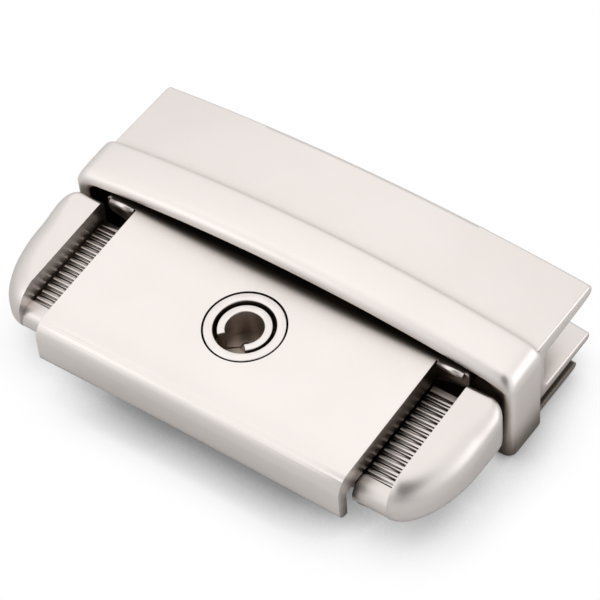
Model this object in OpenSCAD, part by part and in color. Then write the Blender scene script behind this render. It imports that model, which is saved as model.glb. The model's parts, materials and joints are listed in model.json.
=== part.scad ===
// Bag tuck lock: a spring-catch case with two squeeze buttons and a key barrel,
// closed by an arched flap bar that carries a leather channel and a two-pronged tongue.
// X runs along the flap bar, +Y points towards the flap, Z = 0 is the bag's surface.

/* [Case] */
// Width of the case cover
case_w = 39.4; // [38:0.2:41]
// Depth of the cover, front to shoulder
case_d = 18.35; // [18:0.05:19]
// Height of the cover's top at its front edge
case_top = 9.5; // [9.2:0.1:10]
// Slope of the cover's top, rising to the flap, in degrees
case_slope = 4.3; // [3:0.1:5]
// Height of the cover's lower edge above the bag
case_rise = 3.5; // [3.3:0.1:3.8]
// Crown of the cover across its width
case_crown = 0.3; // [0.1:0.05:0.5]
// Thickness of the cover's top wall
cover_t = 1.2; // [1:0.1:1.5]
// Depth of the rims along the cover's sides
rim_h = 2.8; // [2.4:0.1:2.9]
// Thickness of the rims
rim_t = 1.2; // [1:0.1:1.5]
// Thickness of the front skirt
skirt_t = 1.4; // [1.3:0.05:1.6]
// Rounding of the cover's front top edge
cover_fillet = 2.2; // [1.8:0.1:2.6]
// Width of the shoulder that enters the flap bar
shoulder_w = 47.4; // [46:0.2:48]
// How far the shoulder enters the flap bar
shoulder_d = 2.2; // [1.8:0.1:2.4]
// Height of the shoulder
shoulder_h = 3.1; // [2.6:0.1:3.2]

/* [Base] */
// Thickness of the base flange
flange_t = 1; // [0.9:0.05:1.1]
// Height of the base flange's top
base_top = 4.3; // [4.2:0.05:4.35]
// Width of the plinth that meets the bag
plinth_w = 29; // [27:0.5:31]
// Gap between the plinth and the case screws' heads
plinth_gap = 0.1; // [0.05:0.05:0.4]
// Tapped mounting hole radius
mount_r = 1.05; // [0.9:0.05:1.2]
// Mounting hole spacing along the lock
mount_dx = 21; // [19:0.5:22]
// Mounting hole spacing across the lock
mount_dy = 6.4; // [6:0.1:6.6]
// Depth of the mounting holes
mount_h = 3.4; // [3:0.1:3.7]
// Radius of the case screws' thread
screw_r = 0.8; // [0.7:0.05:0.9]
// Radius of the guide pins
pin_r = 0.75; // [0.6:0.05:0.85]

/* [Buttons] */
// Width of each button's ribbed grip
grip_w = 4.3; // [4:0.1:4.5]
// Width of each button's finger lip
lip_w = 4.5; // [4.2:0.1:4.8]
// How far the lip's top lies below the cover
lip_drop = 0.5; // [0.3:0.05:0.8]
// Height of the lip's inner wall above the ribs
lip_wall = 2.7; // [2.4:0.05:2.8]
// Height of the grip's underside above the bag
button_rise = 3; // [2.6:0.1:3.2]
// Height of the lip's underside above the bag
lip_rise = 2.2; // [1.8:0.1:2.6]
// Inward travel of each button
button_travel = 2; // [1.6:0.1:2.2]
// Spacing of the grip ribs
rib_pitch = 1; // [0.9:0.05:1.05]
// Number of grip ribs
rib_count = 13; // [10:1:13]
// Width of the grooves between the ribs
groove_w = 0.3; // [0.2:0.05:0.35]
// Depth of the grooves
groove_d = 0.3; // [0.15:0.05:0.35]

/* [Key lock] */
// Distance of the key barrel from the cover's rear edge
key_back = 6.95; // [6.75:0.05:7.35]
// Radius of the key sleeve
sleeve_r = 4.46; // [4.3:0.02:4.6]
// Radius of the sleeve's bore
sleeve_bore_r = 3.45; // [3.35:0.05:3.6]
// Outer radius of the split barrel
barrel_r = 2.99; // [2.9:0.01:3.1]
// Radius of the key socket
socket_r = 2.13; // [2:0.01:2.2]
// Width of the slot in the barrel for the key's bit, in degrees
key_slot = 75; // [60:5:80]
// Length of the locking cam's lobe
cam_l = 8.8; // [8.4:0.1:8.8]

/* [Catch] */
// Spacing of the catch spring's legs, at their middle
leg_span = 9.8; // [9.6:0.1:10]
// Thickness of the spring strip
strip_t = 0.5; // [0.4:0.05:0.6]
// Height of the spring strip
strip_h = 1.75; // [1.5:0.05:1.9]
// Width of each tongue prong
prong_w = 2.4; // [2.2:0.1:2.6]
// Thickness of the tongue
tongue_t = 1.5; // [1.3:0.05:1.6]

/* [Flap] */
// Length of the flap's channel
lock_w = 56; // [55:0.5:57]
// Length of the flap bar
bar_w = 57.4; // [57.2:0.1:58]
// Depth of the flap bar
bar_d = 6.1; // [5.9:0.1:6.5]
// Height of the channel plate's top at mid-length
plate_z = 13.3; // [13.1:0.1:13.8]
// How far the bar and channel bow up at mid-length
bow = 2.4; // [2.2:0.1:2.5]
// Height of the bead above the plate
bead_h = 1.1; // [0.9:0.05:1.4]
// Radius of the bead's top, which falls to the front
bead_r = 44; // [36:1:60]
// Rounding of the bead's front edge
bead_edge = 1.6; // [1.2:0.1:1.7]
// Rounding of the bead's rear edge
bead_back = 0.7; // [0.4:0.1:0.8]
// How far the bar's nose hangs below the plate's level
nose_drop = 0.4; // [0.3:0.05:0.6]
// Thickness of the bar's cheeks
cheek_t = 2.2; // [1.8:0.1:2.4]
// Thickness of the bar's rear web
web_t = 1.5; // [1.4:0.1:1.8]
// Depth of the channel plate behind the bar
plate_d = 11; // [10:0.1:12]
// Thickness of the channel plate
plate_t = 2; // [1.7:0.1:2.1]
// Height of the leather slot
slot_h = 5.4; // [5.2:0.1:5.5]
// Thickness of the channel's web
channel_web_t = 1.4; // [1.3:0.1:1.7]
// Thickness of the channel's lower leg
leg_t = 1.3; // [1:0.1:1.5]
// Thickness of the tail plate below the channel
tail_t = 0.9; // [0.8:0.05:1.1]
// How far the tail plate stops short of the channel plate
tail_short = 3; // [2:0.1:4]

/* [Hidden] */

// Finishes
nickel = "#d8d2ce";
nickel_dark = "#b9b2ac";
spring_steel = "#9a9896";

// Clearances and small fits
run_gap = 0.05;
slide_gap = 0.3;
seam_gap = 0.06;
bar_gap = 0.3;
thread_play = 0.05;
sleeve_gap = 0.2;
button_gap = 0.1;
boss_gap = 0.2;
cavity_gap = 0.45;
prong_gap = 0.75;
arm_gap = 0.45;
seat_gap = 0.6;
cam_gap = 0.6;
tail_gap = 1;

// Working sizes
arc_steps = 8;
bow_fn = 720;
round_fn = 96;
space = 200;
eps = 0.01;
cut_over = 1;

// Screws, pins and springs
screw_head_r = 1.5;
screw_head_h = 0.8;
screw_grip = 2.2;
rivet_r = 0.8;
rivet_x = 5;
rivet_rise = 4;
screw_wall = 0.3;
screw_xs = [-17, 0, 17];
boss_r = 1.5;
boss_inset = 2;
pin_inset = 3.6;
pin_edge = 1.5;
pin_h = 2.6;
seat_t = 1.1;
seat_w = 2.4;
spring_len = 3;
coil_r = 0.75;
coil_lift = 0.95;
stub_r = 0.45;
stub_h = 0.5;
hook_lead = 0.3;
hook_bite = 0.7;
hook_flat = 0.4;
hook_l = 2;
leg_tail = 1;
wire_r = 0.14;
coil_turns = 4;
coil_sides = 6;
coil_ring_steps = 14;

// Places across the lock
grip_under = 1;
half_w = lock_w / 2;
cover_half = case_w / 2;
shoulder_half = shoulder_w / 2;
bar_half = bar_w / 2;
portal_half = bar_half - cheek_t;
lip_in = cover_half + grip_w;
lip_out = lip_in + lip_w;
leg_in = (leg_span - strip_t) / 2;
leg_out = (leg_span + strip_t) / 2;
prong_in = leg_out + prong_gap;
prong_out = prong_in + prong_w;
slab_in = prong_out + seat_gap + seat_t + spring_len;
block_in = cover_half + button_gap;
grip_in = cover_half - grip_under;
pin_x = cover_half - pin_inset;
boss_x = slab_in - boss_inset;
arm_tip = leg_out + arm_gap;

// Places from front to back
cavity_step = 0.4;
cover_tail = 0.5;
front_inset = 1.6;
lip_lead = 0.75;
back_inset = 0.9;
arm_w = 2.8;
arm_inset = 1.8;
prong_lead = 0.8;
tab_t = 1.2;
bar_front = case_d + bar_gap;
bar_back = bar_front + bar_d;
plate_back = bar_back + plate_d;
tail_back = plate_back - tail_short;
web_front = bar_back - web_t;
button_front = skirt_t + front_inset;
button_back = case_d - back_inset;
lip_front = button_front - lip_lead;
lip_back = button_back + button_gap;
flange_front = skirt_t + slide_gap;
flange_back = case_d - bar_gap / 2;
boss_front_y = flange_front + boss_r + button_gap;
boss_back_y = flange_back - boss_r;
slab_front = boss_front_y + boss_r + 2 * boss_gap;
slab_back = boss_back_y - boss_r - boss_gap;
plinth_y = (boss_front_y + boss_back_y) / 2;
plinth_d = boss_back_y - boss_front_y - 2 * (screw_head_r + plinth_gap);
pin_ys = [slab_front + pin_edge, slab_back - pin_edge];
arm_y = slab_front + arm_inset;
coil_y = (arm_y + arm_w / 2 + slab_back) / 2;
key_y = case_d - key_back;
bend_y = skirt_t + cavity_step + cavity_gap + leg_out;
hook_y = key_y + hook_lead;
prong_front = arm_y + arm_w / 2 + prong_lead;

// Heights
skirt_r = 1.2;
slab_step = 0.4;
slab_gap = 0.7;
arm_t = 1.2;
cam_t = 1.4;
clip_t = 0.5;
collar_h = 0.2;
socket_floor = 0.5;
rib_drop = lip_drop + lip_wall;
slab_z = base_top + slab_gap;
coil_z = slab_z + coil_lift;
tongue_z = base_top + slide_gap;
cam_z = base_top + slide_gap;
sleeve_z = cam_z + cam_t + clip_t + collar_h;
socket_z = sleeve_z + socket_floor;
cam_stem_r = 1.2;
nose_z = plate_z - nose_drop;
slot_top = plate_z - plate_t;
slot_bottom = slot_top - slot_h;
leg_bottom = slot_bottom - leg_t;
tail_top = leg_bottom - tail_gap;

// Radii of the arched and crowned surfaces
bow_r = half_w * half_w / (2 * bow);
crown_r = cover_half * cover_half / (2 * case_crown);

// Height of the cover's top, the lips and the ribs at a place y
function top_z(y) = case_top + y * tan(case_slope);
function lip_z(y) = top_z(y) - lip_drop;
function rib_z(y) = top_z(y) - rib_drop;

// Points along a round arc and an oval one, as lists
function arc(c, r, from, to) =
    oval(c, r, r, from, to);
function oval(c, rx, ry, from, to) =
    [for (i = [0:arc_steps]) let (a = from + (to - from) * i / arc_steps) c + [rx * cos(a), ry * sin(a)]];

// Height at x on an arched surface whose mid-length height is z
function bowed_z(z, x) = sqrt(pow(bow_r + z, 2) - x * x) - bow_r;

// A section of [y, z] points swept along an arc that bows upwards, cut square at both ends
module bowed(points, r, width) {
    reach = asin((width / 2 + cut_over) / r);
    intersection() {
        translate([0, 0, -r])
            rotate([-90, 0, 0])
                rotate([0, 0, -90 - reach])
                    rotate_extrude(angle = 2 * reach, $fn = bow_fn)
                        polygon([for (p = points) [r + p[1], p[0]]]);
        translate([-width / 2, -space / 2, -space / 2])
            cube([width, space, space]);
    }
}

// A flat [x, z] outline drawn out along Y
module along_y(from, to) {
    translate([0, to, 0])
        rotate([90, 0, 0])
            linear_extrude(to - from)
                children();
}

// A flat [y, z] outline drawn out along X
module along_x(from, to) {
    translate([from, 0, 0])
        rotate([90, 0, 90])
            linear_extrude(to - from)
                children();
}

// A rectangle in plan with round corners, drawn up along Z
module round_block(x0, x1, y0, y1, z0, z1, r) {
    translate([0, 0, z0])
        linear_extrude(z1 - z0)
            polygon(concat(
                arc([x1 - r, y1 - r], r, 0, 90), arc([x0 + r, y1 - r], r, 90, 180),
                arc([x0 + r, y0 + r], r, 180, 270), arc([x1 - r, y0 + r], r, 270, 360)));
}

// Everything above the cover's sloped top
module above_cover(lift = 0) {
    translate([0, 0, case_top + case_crown + lift])
        rotate([case_slope, 0, 0])
            translate([-space / 2, -space / 2, 0])
                cube([space, space, space]);
}

// The lock is centred on its own depth
module placed() {
    translate([0, -plate_back / 2, 0])
        children();
}

module both_sides() {
    children();
    mirror([1, 0, 0])
        children();
}

module case_screw_places() {
    for (x = [-boss_x, boss_x], y = [boss_front_y, boss_back_y])
        translate([x, y, 0])
            children();
}

// Case cover
function cover_points() =
    let (c = case_crown, cz = top_z(cover_fillet) - cover_fillet / cos(case_slope), back = case_d + cover_tail)
    concat(
        [[back, top_z(back) + c]],
        arc([cover_fillet, cz + c], cover_fillet, 90 + case_slope, 180),
        arc([skirt_r, case_rise + skirt_r + c], skirt_r, 180, 270),
        [[skirt_t, case_rise + c], [skirt_t, top_z(skirt_t) - rim_h + c], [back, top_z(back) - rim_h + c]]);

// Hollow between the rims, as [y, z] points
function cavity_points() =
    let (front = skirt_t + cavity_step, back = case_d - rim_t)
    [[front, top_z(front) - rim_h - cut_over], [front, top_z(front) - cover_t],
        [back, top_z(back) - cover_t], [back, top_z(back) - rim_h - cut_over]];

module shoulder() {
    zt = top_z(case_d) - eps;
    zb = zt - shoulder_h;
    rise = 0.8;
    r = 0.9;
    edge = 0.4;
    half = concat(
        [[cover_half, zb]],
        arc([shoulder_half - r, zb + rise + r], r, 280, 360),
        arc([shoulder_half - edge, zt - edge], edge, 0, 90));
    along_y(case_d, case_d + shoulder_d)
        polygon(concat(half, [for (i = [len(half) - 1:-1:0]) [-half[i][0], half[i][1]]]));
}

module cover_boss_row(y) {
    for (x = [-boss_x, boss_x])
        translate([x, y, base_top])
            cylinder(r = boss_r, h = top_z(y) - cover_t / 2 - base_top, $fn = round_fn);
}

module case_cover() {
    color(nickel)
        placed()
            difference() {
                union() {
                    difference() {
                        bowed(cover_points(), crown_r, case_w);
                        along_x(rim_t - cover_half, cover_half - rim_t)
                            polygon(cavity_points());
                    }
                    shoulder();
                    cover_boss_row(boss_front_y);
                    cover_boss_row(boss_back_y);
                }
                case_screw_places()
                    translate([0, 0, base_top - cut_over])
                        cylinder(r = screw_r, h = cut_over + screw_grip + boss_gap, $fn = round_fn);
                translate([0, key_y, sleeve_z])
                    cylinder(r = sleeve_r + sleeve_gap, h = space, $fn = round_fn);
            }
}

// Base
module base_plate() {
    flange_half = block_in - button_travel - 2 * slide_gap;
    flange_z = base_top - flange_t;
    corner = 1.5;
    color(nickel_dark)
        placed()
            difference() {
                union() {
                    round_block(-flange_half, flange_half, flange_front, flange_back,
                        flange_z, base_top, corner);
                    round_block(-plinth_w / 2, plinth_w / 2, plinth_y - plinth_d / 2, plinth_y + plinth_d / 2,
                        0, flange_z, corner);
                    spring_peg();
                    both_sides()
                        coil_seat();
                }
                for (x = [-mount_dx / 2, mount_dx / 2], y = [-mount_dy / 2, mount_dy / 2])
                    translate([x, plinth_y + y, -cut_over])
                        cylinder(r = mount_r, h = mount_h + cut_over, $fn = round_fn);
                case_screw_places()
                    cylinder(r = screw_r + thread_play, h = base_top + cut_over, $fn = round_fn);
                guide_pin_places()
                    cylinder(r = pin_r, h = base_top + cut_over, $fn = round_fn);
                translate([0, key_y, base_top - flange_t])
                    cylinder(r = cam_stem_r + run_gap, h = flange_t + cut_over, $fn = round_fn);
            }
}

// Peg inside the bend of the catch spring
module spring_peg() {
    peg_front = bend_y - leg_in + run_gap;
    peg_r = (key_y - cam_l / 2 - cam_gap - peg_front) / 2;
    translate([0, peg_front + peg_r, base_top - flange_t])
        cylinder(r = peg_r, h = flange_t + strip_h + slide_gap, $fn = round_fn);
}

// Upright that a button's return spring pushes against
module coil_seat() {
    x1 = slab_in - spring_len;
    seat_top = coil_z + coil_r + slide_gap;
    corner = 0.3;
    round_block(x1 - seat_t, x1, coil_y - seat_w / 2, coil_y + seat_w / 2, base_top - eps, seat_top, corner);
    translate([x1 - eps, coil_y, coil_z])
        rotate([0, 90, 0])
            cylinder(r = stub_r, h = stub_h, $fn = round_fn);
}

module base_screws() {
    head_z = base_top - flange_t;
    color(spring_steel)
        placed()
            case_screw_places()
                difference() {
                    union() {
                        translate([0, 0, head_z - screw_head_h])
                            cylinder(r = screw_head_r, h = screw_head_h, $fn = round_fn);
                        translate([0, 0, head_z - eps])
                            cylinder(r = screw_r, h = flange_t + screw_grip, $fn = round_fn);
                    }
                    screw_slot(head_z - screw_head_h);
                }
}

// Driver slot cut into a screw head whose outer face is at height z
module screw_slot(z) {
    slot_w = 0.4;
    slot_depth = 0.4;
    translate([-space / 2, -slot_w / 2, z - cut_over])
        cube([space, slot_w, cut_over + slot_depth]);
}

module guide_pin_places() {
    for (x = [-pin_x, pin_x], y = pin_ys)
        translate([x, y, 0])
            children();
}

module guide_pins() {
    pin_top = slab_z + pin_h;
    tip = 0.25;
    color(spring_steel)
        placed()
            guide_pin_places() {
                translate([0, 0, base_top - flange_t])
                    cylinder(r = pin_r, h = pin_top - tip - base_top + flange_t, $fn = round_fn);
                translate([0, 0, pin_top - tip - eps])
                    cylinder(r1 = pin_r, r2 = pin_r - tip, h = tip + eps, $fn = round_fn);
            }
}

// Key lock
module key_sleeve() {
    color(nickel)
        placed()
            difference() {
                translate([0, key_y, sleeve_z])
                    cylinder(r = sleeve_r, h = space / 4, $fn = round_fn);
                translate([0, key_y, sleeve_z - cut_over])
                    cylinder(r = sleeve_bore_r, h = space, $fn = round_fn);
                above_cover();
            }
}

// Ring nut that draws the sleeve up under the cover
module sleeve_nut() {
    nut_w = 1.1;
    nut_h = 0.9;
    notch_w = 1;
    notch_h = 0.4;
    nut_top = top_z(key_y - sleeve_r - nut_w) - cover_t - 2 * run_gap;
    color(nickel_dark)
        placed()
            translate([0, key_y, nut_top - nut_h])
                difference() {
                    cylinder(r = sleeve_r + nut_w, h = nut_h, $fn = round_fn);
                    translate([0, 0, -cut_over])
                        cylinder(r = sleeve_r + thread_play, h = nut_h + 2 * cut_over, $fn = round_fn);
                    for (a = [0, 90])
                        rotate([0, 0, a])
                            translate([-space / 2, -notch_w / 2, -cut_over])
                                cube([space, notch_w, notch_h + cut_over]);
                }
}

module key_barrel() {
    journal_h = 1;
    sink = 0.15;
    slot_mid = -95;
    tip_taper = 9;
    dimple_r = 0.7;
    dimple_h = 0.2;
    collar_r = 2;
    collar_z = cam_z + cam_t + clip_t + run_gap;
    far = barrel_r * 2;
    middle = barrel_r * 2.6;
    a0 = slot_mid - key_slot / 2;
    a1 = slot_mid + key_slot / 2;
    tip = a1 + tip_taper;
    color(nickel)
        placed()
            difference() {
                translate([0, key_y, 0]) {
                    translate([0, 0, base_top - flange_t])
                        cylinder(r = cam_stem_r, h = sleeve_z - base_top + flange_t + eps, $fn = round_fn);
                    translate([0, 0, collar_z])
                        cylinder(r = collar_r, h = sleeve_z - collar_z + eps, $fn = round_fn);
                    difference() {
                        union() {
                            translate([0, 0, sleeve_z])
                                cylinder(r = sleeve_bore_r - run_gap, h = journal_h, $fn = round_fn);
                            translate([0, 0, sleeve_z])
                                cylinder(r = barrel_r, h = space / 4, $fn = round_fn);
                        }
                        translate([0, 0, socket_z])
                            cylinder(r = socket_r, h = space, $fn = round_fn);
                        translate([0, 0, socket_z - dimple_h])
                            cylinder(r = dimple_r, h = dimple_h + cut_over, $fn = round_fn);
                        translate([0, 0, sleeve_z + journal_h])
                            linear_extrude(space)
                                polygon([[0, 0], far * [cos(a0), sin(a0)],
                                    middle * [cos(slot_mid), sin(slot_mid)], far * [cos(tip), sin(tip)],
                                    socket_r * [cos(a1), sin(a1)]]);
                    }
                }
                above_cover(-sink);
            }
}

module lock_cam() {
    cam_w = 3;
    color(nickel_dark)
        placed()
            translate([0, key_y, cam_z])
                linear_extrude(cam_t)
                    difference() {
                        intersection() {
                            circle(d = cam_l, $fn = round_fn);
                            square([cam_w, space], center = true);
                        }
                        circle(r = cam_stem_r, $fn = round_fn);
                    }
}

// Retaining clip on the barrel's stem above the cam
module cam_clip() {
    clip_w = 0.9;
    mouth = cam_stem_r * 0.7;
    color(spring_steel)
        placed()
            translate([0, key_y, cam_z + cam_t])
                linear_extrude(clip_t)
                    difference() {
                        circle(r = cam_stem_r + clip_w, $fn = round_fn);
                        circle(r = cam_stem_r, $fn = round_fn);
                        translate([mouth, -mouth])
                            square([space, 2 * mouth]);
                    }
}

// Springs
// One leg of the catch spring from its end to the bend, as [x, y] points on the outer side
function leg_points() =
    let (reach = prong_in + hook_bite, back = hook_y + hook_l, end = back + leg_tail)
    [[leg_in, end], [leg_out, end], [leg_out, back],
        [reach, hook_y + hook_flat], [reach, hook_y], [leg_out, hook_y]];

module catch_spring() {
    leg = leg_points();
    c = [0, bend_y];
    color(spring_steel)
        placed()
            translate([0, 0, base_top + run_gap])
                linear_extrude(strip_h)
                    polygon(concat(
                        leg,
                        arc(c, leg_out, 0, -90), arc(c, leg_out, -90, -180),
                        [for (i = [len(leg) - 1:-1:0]) [-leg[i][0], leg[i][1]]],
                        arc(c, leg_in, 180, 270), arc(c, leg_in, 270, 360)));
}

// Ring of wire points at step i of the coil
function coil_ring(i) =
    let (
        a = 360 * i / coil_ring_steps,
        x = wire_r + (spring_len - 2 * wire_r) * i / (coil_turns * coil_ring_steps))
    [for (k = [0:coil_sides - 1])
        let (b = 360 * k / coil_sides, r = coil_r + wire_r * cos(b))
        [x + wire_r * sin(b), r * cos(a), r * sin(a)]];

module coil_spring() {
    rings = coil_turns * coil_ring_steps;
    n = coil_sides;
    points = [for (i = [0:rings], p = coil_ring(i)) p];
    sides = [for (i = [0:rings - 1], k = [0:n - 1])
        [i * n + k, i * n + (k + 1) % n, (i + 1) * n + (k + 1) % n, (i + 1) * n + k]];
    ends = [[for (k = [n - 1:-1:0]) k], [for (k = [0:n - 1]) rings * n + k]];
    translate([slab_in - spring_len, coil_y, coil_z])
        polyhedron(points, concat(sides, ends));
}

module right_return_spring() {
    color(spring_steel)
        placed()
            coil_spring();
}

module left_return_spring() {
    color(spring_steel)
        placed()
            mirror([1, 0, 0])
                coil_spring();
}

// Buttons
function slab_points(z0, front, back) =
    let (r = 1.3)
    concat(
        [[back, z0], [back, rib_z(back)]],
        arc([front + r, rib_z(front + r) - r / cos(case_slope)], r, 90 + case_slope, 180),
        arc([front + r / 2, z0 + r / 2], r / 2, 180, 270));

function lip_side_points() =
    let (front_r = 3.4, low_l = 6, low_h = 2.4, back_r = 0.6, c = lip_front + front_r)
    concat(
        arc([lip_back - back_r, lip_z(lip_back) - back_r], back_r, 0, 90),
        arc([c, lip_z(c) - front_r / cos(case_slope)], front_r, 90 + case_slope, 180),
        oval([lip_front + low_l, lip_rise + low_h], low_l, low_h, 180, 270),
        arc([lip_back - back_r, lip_rise + back_r], back_r, 270, 360));

function lip_end_points() =
    let (low_r = 1.6, zt = lip_z(lip_back) + cut_over)
    concat(
        [[lip_in, lip_rise]],
        arc([lip_out - low_r, lip_rise + low_r], low_r, 270, 360),
        [[lip_out, zt], [lip_in, zt]]);

// Finger lip: its side view, end view and plan, each drawn out and intersected
module finger_lip() {
    front_d = 7.5;
    back_r = 2.4;
    bullnose_r = 2.8;
    intersection() {
        along_x(lip_in, lip_out)
            polygon(lip_side_points());
        along_y(0, case_d)
            polygon(lip_end_points());
        linear_extrude(space / 4)
            polygon(concat(
                [[lip_in, lip_back]],
                arc([lip_out - back_r, lip_back - back_r], back_r, 90, 0),
                oval([lip_in, lip_front + front_d], lip_w, front_d, 0, -90)));
        lip_bullnose(bullnose_r);
    }
}

// Rounds the lip's outer top edge along the sloped top
module lip_bullnose(r) {
    translate([lip_out, 0, lip_z(0)])
        rotate([case_slope, 0, 0])
            translate([-r, -space / 2, -r])
                rotate([-90, 0, 0])
                    linear_extrude(space)
                        polygon(concat(
                            [[-space / 2, space / 2], [-space / 2, -r]],
                            arc([0, 0], r, -90, 0),
                            [[r, space / 2]]));
}

// Cuts between the grip ribs, set square to the sloped face
module rib_grooves() {
    fine_w = groove_w / 2;
    fine_d = groove_d * 2 / 3;
    y1 = button_back - rib_pitch;
    y0 = y1 - rib_count * rib_pitch;
    foot_w = 0.2;
    for (i = [0:rib_count - 1]) {
        rib_cut(y1 - i * rib_pitch, groove_w, groove_d);
        rib_cut(y1 - (i + 0.5) * rib_pitch, fine_w, fine_d);
    }
    translate([0, 0, case_top - rib_drop])
        rotate([case_slope, 0, 0])
            translate([lip_in - foot_w, y0, -groove_d])
                cube([foot_w, button_back - y0 + cut_over, groove_d + cut_over]);
}

module rib_cut(y, width, depth) {
    translate([block_in - slab_step, y, rib_z(y) - depth])
        rotate([case_slope, 0, 0])
            cube([lip_in - block_in + slab_step - eps, width, depth + cut_over]);
}

module button_slots() {
    for (y = pin_ys)
        round_block(pin_x - pin_r - run_gap, pin_x + button_travel + pin_r + run_gap,
            y - pin_r - run_gap, y + pin_r + run_gap, 0, space / 4, pin_r + run_gap - eps);
}

module button() {
    difference() {
        union() {
            along_x(block_in, lip_in + slab_step)
                polygon(slab_points(button_rise, button_front, button_back));
            grip_ledge();
            along_x(slab_in, block_in + slab_step)
                polygon([[slab_front, slab_z], [slab_back, slab_z],
                    [slab_back, rib_z(slab_back) - slab_step], [slab_front, rib_z(slab_front) - slab_step]]);
            finger_lip();
            button_arm();
            translate([slab_in - stub_h, coil_y, coil_z])
                rotate([0, 90, 0])
                    cylinder(r = stub_r, h = 2 * stub_h, $fn = round_fn);
        }
        rib_grooves();
        button_slots();
    }
}

// Ledge of the grip that runs in under the cover's rim
module grip_ledge() {
    front = button_front + slab_step;
    back = button_back - slab_step;
    drop = groove_d + run_gap;
    foot = slab_z + slab_step / 2;
    along_x(grip_in, block_in + slab_step / 2)
        polygon([[front, foot], [back, foot], [back, rib_z(back) - drop], [front, rib_z(front) - drop]]);
}

// Arm that squeezes the catch spring's leg
module button_arm() {
    tip_r = arm_w / 2;
    translate([arm_tip + tip_r, arm_y - arm_w / 2, slab_z])
        cube([slab_in - arm_tip - tip_r + eps, arm_w, arm_t]);
    translate([arm_tip + tip_r, arm_y, slab_z])
        cylinder(r = tip_r, h = arm_t, $fn = round_fn);
}

module right_button() {
    color(nickel)
        placed()
            button();
}

module left_button() {
    color(nickel)
        placed()
            mirror([1, 0, 0])
                button();
}

// Flap bar
// Bead over the bar: a rounded rear edge, a top that falls to the front and a rounded nose
function bead_points() =
    let (
        c = [bar_back, plate_z + bead_h - bead_r],
        b = [bar_back - bead_back, c[1] + sqrt(pow(bead_r - bead_back, 2) - pow(bead_back, 2))],
        e_y = bar_front + bead_edge,
        e = [e_y, c[1] + sqrt(pow(bead_r - bead_edge, 2) - pow(bar_back - e_y, 2))],
        rear = atan2(b[1] - c[1], b[0] - c[0]),
        front = atan2(e[1] - c[1], e[0] - c[0]))
    concat(arc(b, bead_back, 0, rear), arc(c, bead_r, rear, front), arc(e, bead_edge, front, 180));

// Opening in the bar that takes the case's shoulder, as [x, z] points
function portal_points() =
    let (
        r = 1.2,
        cx = portal_half - r,
        cz = sqrt(pow(bow_r + nose_z - r, 2) - cx * cx) - bow_r,
        lean = atan2(cz + bow_r, cx),
        n = 4 * arc_steps)
    concat(
        [[portal_half, -cut_over]],
        arc([cx, cz], r, 0, lean),
        [for (i = [1:n - 1])
            let (a = lean + (180 - 2 * lean) * i / n)
            [(bow_r + nose_z) * cos(a), (bow_r + nose_z) * sin(a) - bow_r]],
        arc([-cx, cz], r, 180 - lean, 180),
        [[-portal_half, -cut_over]]);

module flap_bar() {
    foot = -bow - 2 * cut_over;
    end_r = 1.1;
    end_lap = 0.3;
    tail_r = tail_t / 2 - eps;
    tail_front = bar_front + end_r;
    color(nickel)
        placed()
            difference() {
                union() {
                    difference() {
                        intersection() {
                            bowed(concat([[bar_front, foot], [bar_back, foot]], bead_points()),
                                bow_r, bar_w + 2 * eps);
                            round_block(-bar_half, bar_half, bar_front - eps, bar_back + end_lap,
                                0, space / 4, end_r);
                        }
                        along_y(bar_front - cut_over, web_front)
                            polygon(portal_points());
                    }
                    bowed(concat(
                            [[tail_front, tail_top - tail_t]],
                            arc([tail_back - tail_r, tail_top - tail_r], tail_r, -90, 90),
                            [[tail_front, tail_top]]),
                        bow_r, lock_w - 2 * run_gap);
                }
                for (x = screw_xs)
                    channel_screw_place(x)
                        cylinder(r = screw_r, h = space, $fn = round_fn);
                for (x = [-rivet_x, rivet_x])
                    rivet_place(x)
                        cylinder(r = rivet_r, h = space, $fn = round_fn);
            }
}

// Blind hole place in the bar's web, its axis towards the flap
module channel_screw_place(x) {
    translate([x, web_front + screw_wall, bowed_z((slot_top + slot_bottom) / 2, x)])
        rotate([-90, 0, 0])
            children();
}

module rivet_place(x) {
    translate([x, web_front - tab_t, tongue_z + rivet_rise])
        rotate([-90, 0, 0])
            children();
}

// Channel that takes the flap's leather
function channel_points() =
    let (
        corner = 0.8,
        leg_short = 0.3,
        leg_back = plate_back - leg_short,
        plate_tip = plate_t * 0.36,
        leg_tip = leg_t * 0.4,
        y0 = bar_back + seam_gap,
        y1 = y0 + channel_web_t)
    concat(
        [[y0, leg_bottom], [y0, plate_z]],
        arc([plate_back - plate_tip, plate_z - plate_tip], plate_tip, 90, -90),
        arc([y1 + corner, slot_top - corner], corner, 90, 180),
        arc([y1 + corner, slot_bottom + corner], corner, 180, 270),
        arc([leg_back - leg_tip, slot_bottom - leg_tip], leg_tip, 90, -90));

module flap_channel() {
    color(nickel)
        placed()
            difference() {
                bowed(channel_points(), bow_r, lock_w);
                for (x = screw_xs)
                    channel_screw_place(x)
                        cylinder(r = screw_r + thread_play, h = web_t + channel_web_t + cut_over, $fn = round_fn);
            }
}

module channel_screws() {
    shank = web_t - screw_wall + seam_gap + channel_web_t;
    color(spring_steel)
        placed()
            for (x = screw_xs)
                channel_screw_place(x)
                    difference() {
                        union() {
                            cylinder(r = screw_r, h = shank + eps, $fn = round_fn);
                            translate([0, 0, shank])
                                cylinder(r = screw_head_r, h = screw_head_h, $fn = round_fn);
                        }
                        translate([0, 0, shank + screw_head_h])
                            mirror([0, 0, 1])
                                screw_slot(0);
                    }
}

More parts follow.
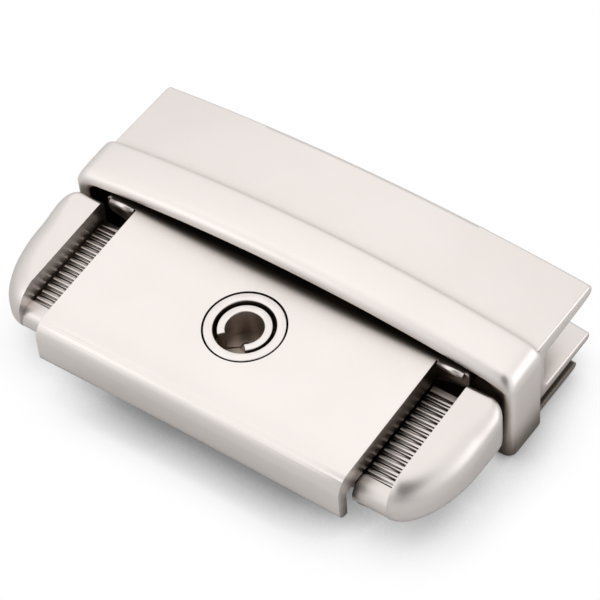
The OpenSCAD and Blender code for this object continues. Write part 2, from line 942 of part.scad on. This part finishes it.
// Tongue
module tongue() {
    notch_d = 1.1;
    notch_gap = 0.2;
    notch_l = hook_l + 4 * notch_gap;
    bridge_gap = 1.5;
    bridge_y = case_d + bridge_gap;
    prong_r = 0.7;
    tab_h = 6;
    color(nickel_dark)
        placed()
            difference() {
                union() {
                    translate([-prong_out, bridge_y, tongue_z])
                        cube([2 * prong_out, web_front - bridge_y, tongue_t]);
                    translate([-prong_out, web_front - tab_t, tongue_z])
                        cube([2 * prong_out, tab_t, tab_h]);
                    both_sides()
                        round_block(prong_in, prong_out, prong_front, bridge_y + cut_over,
                            tongue_z, tongue_z + tongue_t, prong_r);
                }
                both_sides()
                    translate([prong_in - cut_over, hook_y - notch_gap, tongue_z - cut_over])
                        cube([notch_d + cut_over, notch_l, tongue_t + 2 * cut_over]);
                for (x = [-rivet_x, rivet_x])
                    rivet_place(x)
                        translate([0, 0, -cut_over])
                            cylinder(r = rivet_r, h = space, $fn = round_fn);
            }
}

module tongue_rivets() {
    head_r = 1.4;
    head_tip_r = 0.98;
    head_h = 0.6;
    color(spring_steel)
        placed()
            for (x = [-rivet_x, rivet_x])
                rivet_place(x) {
                    cylinder(r = rivet_r, h = tab_t + web_t, $fn = round_fn);
                    translate([0, 0, -head_h])
                        cylinder(r1 = head_tip_r, r2 = head_r, h = head_h, $fn = round_fn);
                }
}

case_cover();
base_plate();
base_screws();
guide_pins();
key_sleeve();
sleeve_nut();
catch_spring();
left_return_spring();
right_return_spring();
left_button();
right_button();
key_barrel();
lock_cam();
cam_clip();
flap_bar();
flap_channel();
tongue();
tongue_rivets();
channel_screws();
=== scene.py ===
import json
import math

import bmesh
import bpy
from mathutils import Matrix, Vector


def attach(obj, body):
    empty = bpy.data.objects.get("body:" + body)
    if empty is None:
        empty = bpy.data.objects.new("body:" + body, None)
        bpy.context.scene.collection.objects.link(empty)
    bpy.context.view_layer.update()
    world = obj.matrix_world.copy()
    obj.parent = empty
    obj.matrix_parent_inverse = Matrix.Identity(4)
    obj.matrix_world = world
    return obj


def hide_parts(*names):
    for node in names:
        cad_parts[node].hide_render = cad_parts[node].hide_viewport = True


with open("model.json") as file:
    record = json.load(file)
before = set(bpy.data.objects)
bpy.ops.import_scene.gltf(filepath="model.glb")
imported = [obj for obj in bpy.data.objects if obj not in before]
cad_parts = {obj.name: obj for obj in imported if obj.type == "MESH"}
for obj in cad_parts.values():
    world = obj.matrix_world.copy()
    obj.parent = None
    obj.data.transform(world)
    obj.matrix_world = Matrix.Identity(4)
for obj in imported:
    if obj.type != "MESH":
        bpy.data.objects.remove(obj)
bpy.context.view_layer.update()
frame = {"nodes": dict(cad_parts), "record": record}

scene = bpy.context.scene

MM = 0.001
# Points nearer than this are one, in metres
WELD = 2e-6

# Values shared with the CAD, in mm and in the part's frame
SLOPE = math.tan(math.radians(4.3))
FRONT_Y = -17.875
COVER_FRONT_Z = 9.5
CROWN_R = 646.8
BOW_R = 163.33


# Nodes

def node_tree(owner):
    owner.use_nodes = True
    tree = owner.node_tree
    tree.nodes.clear()
    return tree


def add(tree, kind, **sockets):
    """A new node with its sockets set; an underscore in a name stands for a space."""
    node = tree.nodes.new(kind)
    for name, value in sockets.items():
        node.inputs[name.replace("_", " ")].default_value = value
    return node


def colour_mix(tree):
    node = add(tree, "ShaderNodeMix")
    node.data_type = "RGBA"
    return node


def blend(tree, kind, first, second):
    node = colour_mix(tree)
    node.blend_type = kind
    node.inputs[0].default_value = 1.0
    tree.links.new(first, node.inputs[6])
    tree.links.new(second, node.inputs[7])
    return node.outputs[2]


def openness(tree, reach):
    """How open a place is to what lies within reach, in mm."""
    node = add(tree, "ShaderNodeAmbientOcclusion", Distance=reach * MM)
    node.samples = 16
    return node


def colour_ramp(tree, stops):
    node = add(tree, "ShaderNodeValToRGB")
    elements = node.color_ramp.elements
    while len(elements) < len(stops):
        elements.new(0.5)
    for stop, (position, colour) in zip(elements, stops):
        stop.position = position
        stop.color = (*colour, 1.0)
    return node


def camera_sees(tree, out, seen, otherwise):
    """One shader for the camera's rays, and another for all other rays."""
    path = add(tree, "ShaderNodeLightPath")
    mix = add(tree, "ShaderNodeMixShader")
    tree.links.new(path.outputs["Is Camera Ray"], mix.inputs["Fac"])
    tree.links.new(otherwise, mix.inputs[1])
    tree.links.new(seen, mix.inputs[2])
    tree.links.new(mix.outputs["Shader"], out.inputs["Surface"])


# Materials

# Painted shade in hollows, under overhangs and between parts: openness of the place, and the colour the tint is
# multiplied by
BODY_PAINTED_SHADE = (
    (0.42, (0.20, 0.172, 0.145)), (0.56, (0.30, 0.265, 0.235)), (0.66, (0.48, 0.445, 0.415)),
    (0.76, (0.74, 0.715, 0.695)), (0.86, (0.93, 0.92, 0.915)), (0.94, (1.0, 1.0, 1.0)))
# Painted shade and painted reflection on the cover, darkest in the band under the flap bar's nose
COVER_PAINTED_SHADE = (
    (0.40, (0.18, 0.155, 0.13)), (0.57, (0.19, 0.163, 0.14)), (0.63, (0.23, 0.20, 0.178)),
    (0.69, (0.33, 0.30, 0.275)), (0.75, (0.53, 0.50, 0.475)), (0.80, (0.69, 0.665, 0.645)),
    (0.85, (0.82, 0.80, 0.79)), (0.95, (1.0, 1.0, 1.0)))
# Painted shade between the grips' ribs and their walls
GRIP_PAINTED_SHADE = (
    (0.12, (0.24, 0.205, 0.17)), (0.32, (0.38, 0.33, 0.285)), (0.42, (0.76, 0.72, 0.69)),
    (0.52, (0.97, 0.96, 0.95)), (0.65, (1.0, 1.0, 1.0)))
# Painted shade in the keyhole's socket and ring gaps
KEY_PAINTED_SHADE = (
    (0.10, (0.20, 0.165, 0.13)), (0.40, (0.44, 0.39, 0.345)), (0.60, (0.68, 0.64, 0.61)),
    (0.90, (1.0, 1.0, 1.0)))
# Painted shade on the small parts
SMALL_PAINTED_SHADE = ((0.10, (0.06, 0.05, 0.04)), (0.50, (0.50, 0.45, 0.41)), (0.92, (1.0, 1.0, 1.0)))

CLOUD_SCALE = 90.0
ROUGH_SPREAD = 0.025
GRAIN_HEIGHT = 0.04


def satin_metal(name, light, dark, rough, grain, grain_depth, painted_shade, reach):
    """Plated metal: two close tints in soft clouds, a fine grain in bump and roughness, and painted shade that
    darkens the tint in hollows, under overhangs and between parts.
    """
    material = bpy.data.materials.new(name)
    tree = node_tree(material)
    link = tree.links.new
    out = add(tree, "ShaderNodeOutputMaterial")
    shader = add(tree, "ShaderNodeBsdfPrincipled", Metallic=1.0)
    place = add(tree, "ShaderNodeTexCoord")
    clouds = add(tree, "ShaderNodeTexNoise", Scale=CLOUD_SCALE, Detail=3.0, Roughness=0.55)
    fine = add(tree, "ShaderNodeTexNoise", Scale=grain, Detail=2.0, Roughness=0.6)
    spread = add(tree, "ShaderNodeMapRange", From_Min=0.35, From_Max=0.65)
    rough_map = add(
        tree, "ShaderNodeMapRange", From_Min=0.3, From_Max=0.7,
        To_Min=rough - ROUGH_SPREAD, To_Max=rough + ROUGH_SPREAD)
    tint = colour_mix(tree)
    tint.inputs[6].default_value = (*dark, 1.0)
    tint.inputs[7].default_value = (*light, 1.0)
    bump = add(tree, "ShaderNodeBump", Strength=grain_depth, Distance=GRAIN_HEIGHT * MM)
    hollow = openness(tree, reach)
    shade = colour_ramp(tree, painted_shade)
    # The tint multiplied by the ramp: painted shade where the place is closed in
    shaded_tint = blend(tree, "MULTIPLY", tint.outputs[2], shade.outputs["Color"])
    link(place.outputs["Object"], clouds.inputs["Vector"])
    link(place.outputs["Object"], fine.inputs["Vector"])
    link(clouds.outputs["Fac"], spread.inputs["Value"])
    link(spread.outputs["Result"], tint.inputs[0])
    link(hollow.outputs["AO"], shade.inputs["Fac"])
    link(shaded_tint, shader.inputs["Base Color"])
    link(fine.outputs["Fac"], rough_map.inputs["Value"])
    link(rough_map.outputs["Result"], shader.inputs["Roughness"])
    link(fine.outputs["Fac"], bump.inputs["Height"])
    link(bump.outputs["Normal"], shader.inputs["Normal"])
    link(shader.outputs["BSDF"], out.inputs["Surface"])
    return material


# Light tint, dark tint, roughness, grain's scale, grain's depth
NICKEL = ((0.915, 0.870, 0.848), (0.890, 0.845, 0.822), 0.34, 7000.0, 0.10)
# A darker copy of the same nickel for the buttons: painted shade on the recessed grips
SHADED_GRIP_NICKEL = ((0.845, 0.803, 0.783), (0.815, 0.773, 0.752), 0.34, 7000.0, 0.10)
PLAIN_NICKEL = ((0.70, 0.66, 0.63), (0.62, 0.58, 0.55), 0.34, 6000.0, 0.12)
DRAWN_STEEL = ((0.60, 0.59, 0.58), (0.50, 0.49, 0.48), 0.28, 6000.0, 0.10)
# The cover, grip and key copies are the one nickel with its own painted shade; the grip's copy is also painted
# darker as shade
FINISHES = {
    "nickel": satin_metal("satin_nickel", *NICKEL, BODY_PAINTED_SHADE, 6.0),
    "cover": satin_metal("satin_nickel_cover_painted_shade", *NICKEL, COVER_PAINTED_SHADE, 6.0),
    "grip": satin_metal("satin_nickel_grip_painted_shade", *SHADED_GRIP_NICKEL, GRIP_PAINTED_SHADE, 5.0),
    "key": satin_metal("satin_nickel_key_painted_shade", *NICKEL, KEY_PAINTED_SHADE, 4.0),
    "nickel_dark": satin_metal("plain_nickel", *PLAIN_NICKEL, SMALL_PAINTED_SHADE, 2.2),
    "spring_steel": satin_metal("drawn_steel", *DRAWN_STEEL, SMALL_PAINTED_SHADE, 2.2),
}
# Pieces that take their own copy of the nickel, for its painted shade
OWN_PAINTED_SHADE = {
    "case_cover": "cover", "left_button": "grip", "right_button": "grip",
    "key_sleeve": "key", "key_barrel": "key",
}
SLOTS = {part["node"]: part["material_slot"] for part in frame["record"]["subparts"]}
BODY = {node: body for body, nodes in frame["record"]["behaviour"]["bodies"].items() for node in nodes}


def finish(node):
    return FINISHES[OWN_PAINTED_SHADE.get(node, SLOTS[node])]


# Rounded copies of the CAD pieces

# Edges that turn by less than this aren't rounded, and faces that do are dissolved, in degrees
ROUND_FROM = 24.0
FLAT_BELOW = 0.4


def open_copy(node):
    mesh = frame["nodes"][node].data.copy()
    mesh.name = node + "_rounded"
    bm = bmesh.new()
    bm.from_mesh(mesh)
    bmesh.ops.remove_doubles(bm, verts=bm.verts, dist=WELD)
    return mesh, bm


def close_copy(name, mesh, bm):
    bm.to_mesh(mesh)
    bm.free()
    piece = bpy.data.objects.new(name, mesh)
    scene.collection.objects.link(piece)
    return piece


def stand_for(piece, node):
    piece.data.materials.clear()
    piece.data.materials.append(finish(node))
    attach(piece, BODY[node])
    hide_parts(node)


def shade_smooth(mesh, angle):
    for face in mesh.polygons:
        face.use_smooth = True
    mesh.set_sharp_from_angle(angle=math.radians(angle))


def true_normals(mesh, skin):
    """Sets the normals that skin(place in mm, face) knows, and leaves the others."""
    normals = [Vector((0, 0, 0)) for loop in mesh.loops]
    for face in mesh.polygons:
        for i in face.loop_indices:
            place = mesh.vertices[mesh.loops[i].vertex_index].co / MM
            normals[i] = skin(place, face) or normals[i]
    mesh.normals_split_custom_set(normals)


def edge_angle(edge):
    if len(edge.link_faces) != 2:
        return 0.0
    return math.degrees(edge.calc_face_angle(0.0))


def rounded_copy(node, rules, smooth=32.0, segments=3, skin=None, sag=None, cuts=()):
    """A copy of a CAD node's mesh with its outer edges rounded.
    rules are pairs of a width in mm and a test of an edge's middle, in mm, and the edge.
    skin(place in mm, face) gives the true normal where a large smooth surface is known exactly.
    sag(place in mm) says how far a place lies below the CAD's.
    cuts are pairs of an axis and a place on it, in mm, where the mesh is first cut across."""
    mesh, bm = open_copy(node)
    bmesh.ops.dissolve_limit(bm, angle_limit=math.radians(FLAT_BELOW), verts=bm.verts, edges=bm.edges)
    for axis, place in cuts:
        geometry = [*bm.verts, *bm.edges, *bm.faces]
        bmesh.ops.bisect_plane(bm, geom=geometry, dist=1e-7, plane_co=axis * place * MM, plane_no=axis)
    if sag:
        for vert in bm.verts:
            vert.co.z -= sag(vert.co / MM) * MM
    weight = bm.edges.layers.float.new("bevel_weight_edge")
    widest = max(width for width, test in rules)
    for edge in bm.edges:
        if edge_angle(edge) < ROUND_FROM or not edge.is_convex:
            continue
        middle = (edge.verts[0].co + edge.verts[1].co) / 2 / MM
        for width, test in rules:
            if test(middle, edge):
                edge[weight] = width / widest
                break
    piece = close_copy(node + "_rounded", mesh, bm)
    bevel = piece.modifiers.new("bevel", "BEVEL")
    bevel.limit_method = "WEIGHT"
    bevel.width = widest * MM
    bevel.segments = segments
    bevel.use_clamp_overlap = True
    graph = bpy.context.evaluated_depsgraph_get()
    done = bpy.data.meshes.new_from_object(piece.evaluated_get(graph))
    piece.modifiers.clear()
    piece.data = done
    shade_smooth(piece.data, smooth)
    if skin:
        true_normals(piece.data, skin)
    stand_for(piece, node)


def share_of(value, start, length):
    """0 before start, 1 after length more, and straight between."""
    return min(max((value - start) / length, 0.0), 1.0)


# The cover

# The top's last slight roll before its front edge
ROLL_TILT, ROLL_Y, ROLL_WIDTH = 0.055, -15.6, 1.4
ROLL_CUTS = [(Vector((0, 1, 0)), y) for y in (-16.4, -15.9, -15.3, -14.6, -13.8, -12.8, -11.5)]


def cover_skin(p, face):
    """The cover's crowned, sloping top."""
    top = COVER_FRONT_Z + SLOPE * (p.y - FRONT_Y) - p.x ** 2 / (2 * (CROWN_R + p.z))
    on_top = face.normal.z > 0.985 and p.z > COVER_FRONT_Z - 0.2
    at_edge = face.normal.z > 0.8 and abs(p.z - top) < 0.04
    if not (on_top or at_edge):
        return None
    roll = ROLL_TILT * math.exp(-((p.y - ROLL_Y) / ROLL_WIDTH) ** 2)
    return Vector((p.x / (CROWN_R + p.z), roll - SLOPE, 1.0)).normalized()


# The rounded top edges of the cover's shoulder, beside the grips, in mm
WING_RIM_R, WING_RIM_LENGTH = 0.42, 3.2
WING_RIM_X, WING_RIM_Y, WING_RIM_Z = 21.5, 0.45, 10.50


def wing_rim(side):
    radius = WING_RIM_R * MM
    bm = bmesh.new()
    bmesh.ops.create_cone(
        bm, cap_ends=True, segments=24, radius1=radius, radius2=radius, depth=WING_RIM_LENGTH * MM)
    bmesh.ops.rotate(bm, verts=bm.verts, matrix=Matrix.Rotation(math.radians(90), 3, "Y"))
    mesh = bpy.data.meshes.new("wing_rim")
    piece = close_copy("wing_rim_left" if side < 0 else "wing_rim_right", mesh, bm)
    piece.location = (side * WING_RIM_X * MM, WING_RIM_Y * MM, WING_RIM_Z * MM)
    for face in mesh.polygons:
        face.use_smooth = len(face.vertices) == 4
    # The rims take the key's copy of the nickel, whose painted shade is lighter, so they show brighter
    mesh.materials.append(FINISHES["key"])
    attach(piece, BODY["case_cover"])


# The flap bar and its channel

BAR_HALF, BAR_END_R = 28.7, 1.9
PLATE_HALF, PLATE_DROP = 28.0, 0.68


def unbent_height(p):
    """Height of a place if the arch were straight."""
    return p.z + p.x ** 2 / (2 * (BOW_R + p.z))


def bar_cuts():
    """Places along the bar where its rounded ends are cut into steps."""
    steps = [BAR_HALF - BAR_END_R * (1 - math.sin(math.radians(a))) for a in range(0, 89, 8)]
    return [(Vector((side, 0, 0)), x) for side in (-1, 1) for x in steps]


def bar_sag(p):
    """The bar's top rolls over at its two ends."""
    past = min(max(abs(p.x) - BAR_HALF + BAR_END_R, 0.0), BAR_END_R)
    roll = BAR_END_R - math.sqrt(BAR_END_R ** 2 - past ** 2)
    return share_of(unbent_height(p), 5.0, 6.0) * roll


def plate_sag(p):
    """The channel plate's top lies a little lower along the middle of its rear edge."""
    rear = max((p.y - 7.0) / 10.9, 0.0)
    return PLATE_DROP * share_of(unbent_height(p), 10.6, 2.2) * rear * (1 - (p.x / PLATE_HALF) ** 2)


def plate_skin(p, face):
    """The channel plate's arched top, very slightly rounded from front to back."""
    if face.normal.z < 0.97 or p.z < 10.2:
        return None
    return Vector((p.x / (BOW_R + p.z), 0.0030 * (p.y - 11.0), 1.0)).normalized()


# Buttons: the CAD slab with its ribs, and a finger lip rounded in one smooth skin

LIP = {
    "inner": 24.0, "outer": 29.0, "front": -15.625, "back": 0.1, "bottom": 3.4, "top": 9.0,
    "front_depth": 10.0, "back_r": 2.2, "top_r": 2.7, "front_r": 3.1,
    "back_top_r": 0.8, "corner_top_r": 2.0, "low_r": 2.0,
}
SLAB = {
    "inner": 19.6, "outer": 24.1, "front": -15.42, "back": -13.3, "bottom": 4.0,
    "top_r": 1.6, "low_r": 0.8, "drop": 2.69,
}
# Steps round the lip's plan, and over its upper and lower edges
BACK_STEPS, CORNER_STEPS, SIDE_STEPS, FRONT_STEPS = 6, 12, 8, 36
TOP_STEPS, LOW_STEPS = 12, 8
# The grooves between the ribs keep this share of the CAD's depth
RIBS_BELOW_LIP, GROOVE_SHARE = 2.7, 0.2
GROOVE_DEPTHS = (0.1, 0.35)
RIBS_FROM, RAISED_FROM = 18.5, 19.9


def lip_top(y):
    return LIP["top"] + (y - FRONT_Y) * SLOPE


def lip_outline():
    """Plan of the lip from its rear inner corner round to its front inner corner: place, outward direction,
    top rounding, and the longest way in before the inner wall is met."""
    k = LIP
    out = []
    corner_x, corner_y = k["outer"] - k["back_r"], k["back"] - k["back_r"]
    for i in range(BACK_STEPS):
        x = k["inner"] + (corner_x - k["inner"]) * i / BACK_STEPS
        out.append((x, k["back"], 0.0, 1.0, k["back_top_r"], k["back_r"]))
    for i in range(CORNER_STEPS + 1):
        turn = math.radians(90 * i / CORNER_STEPS)
        nx, ny = math.sin(turn), math.cos(turn)
        r = k["back_top_r"] + (k["corner_top_r"] - k["back_top_r"]) * nx ** 2
        out.append((corner_x + k["back_r"] * nx, corner_y + k["back_r"] * ny, nx, ny, r, r))
    width, depth = k["outer"] - k["inner"], k["front_depth"]
    middle = k["front"] + depth
    for i in range(1, SIDE_STEPS):
        t = i / SIDE_STEPS
        r = k["corner_top_r"] + (k["top_r"] - k["corner_top_r"]) * t * t * (3 - 2 * t)
        out.append((k["outer"], corner_y + (middle - corner_y) * t, 1.0, 0.0, r, r))
    for i in range(FRONT_STEPS + 1):
        a = math.radians(90 * i / FRONT_STEPS)
        x, y = width * math.cos(a), -depth * math.sin(a)
        normal = Vector((x / width ** 2, y / depth ** 2)).normalized()
        r = k["top_r"] + (k["front_r"] - k["top_r"]) * i / FRONT_STEPS
        reach = x / normal.x if i < FRONT_STEPS else width ** 2 / depth
        out.append((k["inner"] + x, middle + y, normal.x, normal.y, r, reach))
    return out


def add_lip(bm, side):
    k = LIP
    outline = lip_outline()
    rings = []
    for step in range(TOP_STEPS + 1):
        a = math.radians(90 * step / TOP_STEPS)
        ring = []
        for x, y, nx, ny, r, reach in outline:
            inset = min(r * (1 - math.sin(a)), reach)
            py = y - ny * inset
            ring.append((x - nx * inset, py, lip_top(py) - r + math.sqrt(r * r - (r - inset) ** 2)))
        rings.append(ring)
    for step in range(LOW_STEPS + 1):
        a = math.radians(90 * step / LOW_STEPS)
        ring = []
        for x, y, nx, ny, r, reach in outline:
            inset = min(k["low_r"] * (1 - math.cos(a)), reach)
            ring.append((x - nx * inset, y - ny * inset, k["bottom"] + k["low_r"] * (1 - math.sin(a))))
        rings.append(ring)
    verts = [[bm.verts.new((side * x * MM, y * MM, z * MM)) for x, y, z in ring] for ring in rings]
    for upper, lower in zip(verts, verts[1:]):
        for i in range(len(upper) - 1):
            bm.faces.new((upper[i], lower[i], lower[i + 1], upper[i + 1]))
    bm.faces.new(verts[0])
    bm.faces.new(verts[-1])
    high_wall, low_wall = (
        [v for v in ring[1:-1] if abs(v.co.x * side / MM - k["inner"]) < 0.001] for ring in (verts[0], verts[-1]))
    rear, front = [ring[0] for ring in verts], [ring[-1] for ring in reversed(verts)]
    bm.faces.new(rear + low_wall + front + high_wall[::-1])
    bmesh.ops.remove_doubles(bm, verts=[v for ring in verts for v in ring], dist=WELD)


def add_slab_front(bm, side):
    """The rounded front end of the ribbed slab."""
    k = SLAB
    crest = k["front"] + k["top_r"]
    crest_z = lip_top(crest) - k["drop"] - k["top_r"]
    foot, foot_z = k["front"] + k["low_r"], k["bottom"] + k["low_r"]
    profile = [(k["back"], k["bottom"]), (k["back"], lip_top(k["back"]) - k["drop"])]
    for i in range(TOP_STEPS + 1):
        a = math.radians(90 + 90 * i / TOP_STEPS)
        profile.append((crest + k["top_r"] * math.cos(a), crest_z + k["top_r"] * math.sin(a)))
    for i in range(LOW_STEPS + 1):
        a = math.radians(180 + 90 * i / LOW_STEPS)
        profile.append((foot + k["low_r"] * math.cos(a), foot_z + k["low_r"] * math.sin(a)))
    ends = [
        [bm.verts.new((side * x * MM, y * MM, z * MM)) for y, z in profile] for x in (k["inner"], k["outer"])]
    for i in range(len(profile)):
        j = (i + 1) % len(profile)
        bm.faces.new((ends[0][i], ends[0][j], ends[1][j], ends[1][i]))
    bm.faces.new(ends[0])
    bm.faces.new(ends[1])


def lip_skin(p, face):
    """The flat top of a finger lip."""
    if face.loop_total < 12 or face.normal.z < 0.98 or p.z < LIP["top"]:
        return None
    return Vector((0.0, -SLOPE, 1.0)).normalized()


def button_copy(node, side):
    """A button whose CAD lip gives way to the rounded one, with shallower grooves and a rounded slab front."""
    mesh, bm = open_copy(node)
    edge = (LIP["inner"] - 0.01) * MM
    old_lip = [f for f in bm.faces if min(side * v.co.x for v in f.verts) > edge]
    bmesh.ops.delete(bm, geom=old_lip, context="FACES")
    bmesh.ops.holes_fill(bm, edges=[e for e in bm.edges if e.is_boundary], sides=0)
    for vert in bm.verts:
        if side * vert.co.x > RAISED_FROM * MM:
            vert.co.z = max(vert.co.z, SLAB["bottom"] * MM)
        if side * vert.co.x > RIBS_FROM * MM and vert.co.y > SLAB["back"] * MM:
            low = lip_top(vert.co.y / MM) - RIBS_BELOW_LIP - vert.co.z / MM
            if GROOVE_DEPTHS[0] < low < GROOVE_DEPTHS[1]:
                vert.co.z += low * (1 - GROOVE_SHARE) * MM
    add_lip(bm, side)
    add_slab_front(bm, side)
    bmesh.ops.recalc_face_normals(bm, faces=bm.faces)
    piece = close_copy(node + "_rounded", mesh, bm)
    shade_smooth(mesh, 38)
    true_normals(mesh, lip_skin)
    stand_for(piece, node)


# The pieces

rounded_copy("case_cover", [
    (0.35, lambda p, e: p.z > 9.0 and abs(p.x) > 18),
    (0.20, lambda p, e: p.y < -13),
    (0.45, lambda p, e: p.y > 0.2 and abs(p.x) > 19.5 and p.z > 8.5),
    (0.20, lambda p, e: p.y > 0.2),
    (0.15, lambda p, e: abs(p.x) > 19.3)], skin=cover_skin, cuts=ROLL_CUTS)
rounded_copy("flap_bar", [
    (0.25, lambda p, e: p.y < 1.6 and abs(p.x) < 27),
    (0.15, lambda p, e: abs(p.x) > 28.6 and p.z < 8.0)], sag=bar_sag, cuts=bar_cuts())
rounded_copy("flap_channel", [
    (0.35, lambda p, e: abs(p.x) > 27 and p.z > 9.5),
    (0.20, lambda p, e: abs(p.x) > 27)], skin=plate_skin, sag=plate_sag)
button_copy("left_button", -1)
button_copy("right_button", 1)
rounded_copy("key_sleeve", [(0.10, lambda p, e: p.z > 9.0)])
rounded_copy("key_barrel", [(0.10, lambda p, e: p.z > 9.0)])
wing_rim(-1)
wing_rim(1)

for name, node in frame["nodes"].items():
    node.data.materials.clear()
    node.data.materials.append(finish(name))


# Floor, world, lights and camera

FLOOR_REACH = 1.5
FLOOR_GREY = (0.76, 0.76, 0.76, 1.0)
# How the camera sees the floor, by the openness of the place towards the light's side: a painted contact shadow
# on its glow
FLOOR_SHADE = ((0.15, 0.14), (0.35, 0.36), (0.52, 0.64), (0.68, 0.86), (0.82, 0.96), (0.95, 1.0))
SHADOW_REACH = 7.5
LIGHT_LEAN = (-0.45, 0.45, 0.0)

# The room's light by how far a direction leans to its bright side
BRIGHT_SIDE = (0.0, -0.45, 0.893)
ROOM = (
    (-0.60, 0.55), (-0.23, 0.74), (0.06, 0.80), (0.26, 0.81),
    (0.42, 0.865), (0.49, 0.90), (0.57, 1.01), (0.70, 1.04))
# A dark corner at the front right, a dim front, and a low window behind on the right: light by nearness
DARK_SIDE = (0.408, -0.506, 0.759)
DARK_CORNER = ((0.82, 1.0), (0.88, 0.75), (0.94, 0.25), (1.0, 0.12))
DIM_FRONT_SIDE = (0.35, -0.93, 0.10)
DIM_FRONT = ((0.50, 1.0), (0.70, 0.88), (0.88, 0.58), (1.0, 0.42))
WINDOW_SIDE = (0.83, 0.51, 0.22)
WINDOW = ((0.88, 0.0), (0.95, 0.55), (1.0, 0.75))


def floor_with_painted_shadow():
    mesh = bpy.data.meshes.new("floor")
    r = FLOOR_REACH
    mesh.from_pydata([(-r, -r, 0), (r, -r, 0), (r, r, 0), (-r, r, 0)], [], [(0, 1, 2, 3)])
    floor = bpy.data.objects.new("floor", mesh)
    floor.location.z = -0.05 * MM
    scene.collection.objects.link(floor)
    material = bpy.data.materials.new("pale_floor")
    tree = node_tree(material)
    link = tree.links.new
    out = add(tree, "ShaderNodeOutputMaterial")
    diffuse = add(tree, "ShaderNodeBsdfDiffuse", Color=FLOOR_GREY)
    painted_shadow_glow = add(tree, "ShaderNodeEmission", Strength=1.0)
    surface = add(tree, "ShaderNodeNewGeometry")
    lean = add(tree, "ShaderNodeVectorMath")
    lean.inputs[1].default_value = LIGHT_LEAN
    level = add(tree, "ShaderNodeVectorMath")
    level.operation = "NORMALIZE"
    # Painted shadow: the glow darkens where the floor is closed in towards the light's side
    shadow = openness(tree, SHADOW_REACH)
    shade = colour_ramp(tree, [(position, (light, light, light)) for position, light in FLOOR_SHADE])
    link(surface.outputs["Normal"], lean.inputs[0])
    link(lean.outputs["Vector"], level.inputs[0])
    link(level.outputs["Vector"], shadow.inputs["Normal"])
    link(shadow.outputs["AO"], shade.inputs["Fac"])
    link(shade.outputs["Color"], painted_shadow_glow.inputs["Color"])
    camera_sees(tree, out, painted_shadow_glow.outputs["Emission"], diffuse.outputs["BSDF"])
    mesh.materials.append(material)


def side_light(tree, place, side, stops):
    """A light level by the cosine between a direction and a side of the room."""
    dot = add(tree, "ShaderNodeVectorMath")
    dot.operation = "DOT_PRODUCT"
    dot.inputs[1].default_value = side
    level = add(tree, "ShaderNodeMapRange", From_Min=-1.0)
    ramp = colour_ramp(tree, [((near + 1) / 2, (light, light * 0.995, light * 0.99)) for near, light in stops])
    tree.links.new(place.outputs["Generated"], dot.inputs[0])
    tree.links.new(dot.outputs["Value"], level.inputs["Value"])
    tree.links.new(level.outputs["Result"], ramp.inputs["Fac"])
    return ramp.outputs["Color"]


def studio_world():
    """A soft room: bright overhead and in front, dimmer behind and at the horizon; white to the camera."""
    world = bpy.data.worlds.new("studio")
    scene.world = world
    tree = node_tree(world)
    out = add(tree, "ShaderNodeOutputWorld")
    place = add(tree, "ShaderNodeTexCoord")
    lit = side_light(tree, place, BRIGHT_SIDE, ROOM)
    lit = blend(tree, "MULTIPLY", lit, side_light(tree, place, DARK_SIDE, DARK_CORNER))
    lit = blend(tree, "MULTIPLY", lit, side_light(tree, place, DIM_FRONT_SIDE, DIM_FRONT))
    lit = blend(tree, "ADD", lit, side_light(tree, place, WINDOW_SIDE, WINDOW))
    room = add(tree, "ShaderNodeBackground", Strength=1.0)
    white = add(tree, "ShaderNodeBackground", Color=(1.0, 1.0, 1.0, 1.0), Strength=1.0)
    tree.links.new(lit, room.inputs["Color"])
    camera_sees(tree, out, white.outputs["Background"], room.outputs["Background"])


def softbox(name, place, aim, width, height, power, tint):
    data = bpy.data.lights.new(name, "AREA")
    data.shape = "RECTANGLE"
    data.size = width
    data.size_y = height
    data.energy = power
    data.color = tint
    light = bpy.data.objects.new(name, data)
    scene.collection.objects.link(light)
    light.location = place
    light.rotation_euler = (Vector(aim) - Vector(place)).to_track_quat("-Z", "Y").to_euler()


def photo_camera():
    """The view fitted to the photo's edges."""
    azimuth, elevation, roll = (math.radians(a) for a in (38.91, 49.43, -4.98))
    distance = 315.93 * MM
    target = Vector((-0.392, 3.676, 4.667)) * MM
    focal_px, photo_px = 2900.31, 600
    level = Vector((math.cos(azimuth), math.sin(azimuth), 0))
    ahead = Vector((math.sin(azimuth), -math.cos(azimuth), 0))
    back = ahead * math.cos(elevation) + Vector((0, 0, math.sin(elevation)))
    up = back.cross(level)
    right = level * math.cos(roll) + up * math.sin(roll)
    up = up * math.cos(roll) - level * math.sin(roll)
    data = bpy.data.cameras.new("photo_camera")
    data.sensor_width = 36.0
    data.lens = focal_px / photo_px * data.sensor_width
    data.clip_start = 0.01
    camera = bpy.data.objects.new("photo_camera", data)
    scene.collection.objects.link(camera)
    matrix = Matrix((right, up, back)).transposed().to_4x4()
    matrix.translation = target + back * distance
    camera.matrix_world = matrix
    scene.camera = camera


floor_with_painted_shadow()
studio_world()
softbox("key", (-0.22, 0.20, 0.40), (0, 0, 0.005), 0.34, 0.34, 0.04, (1.0, 0.985, 0.97))
softbox("fill", (-0.10, -0.115, 0.105), (-0.01, -0.01, 0.008), 0.07, 0.06, 0.005, (1.0, 0.99, 0.98))
photo_camera()
scene.view_settings.view_transform = "Standard"
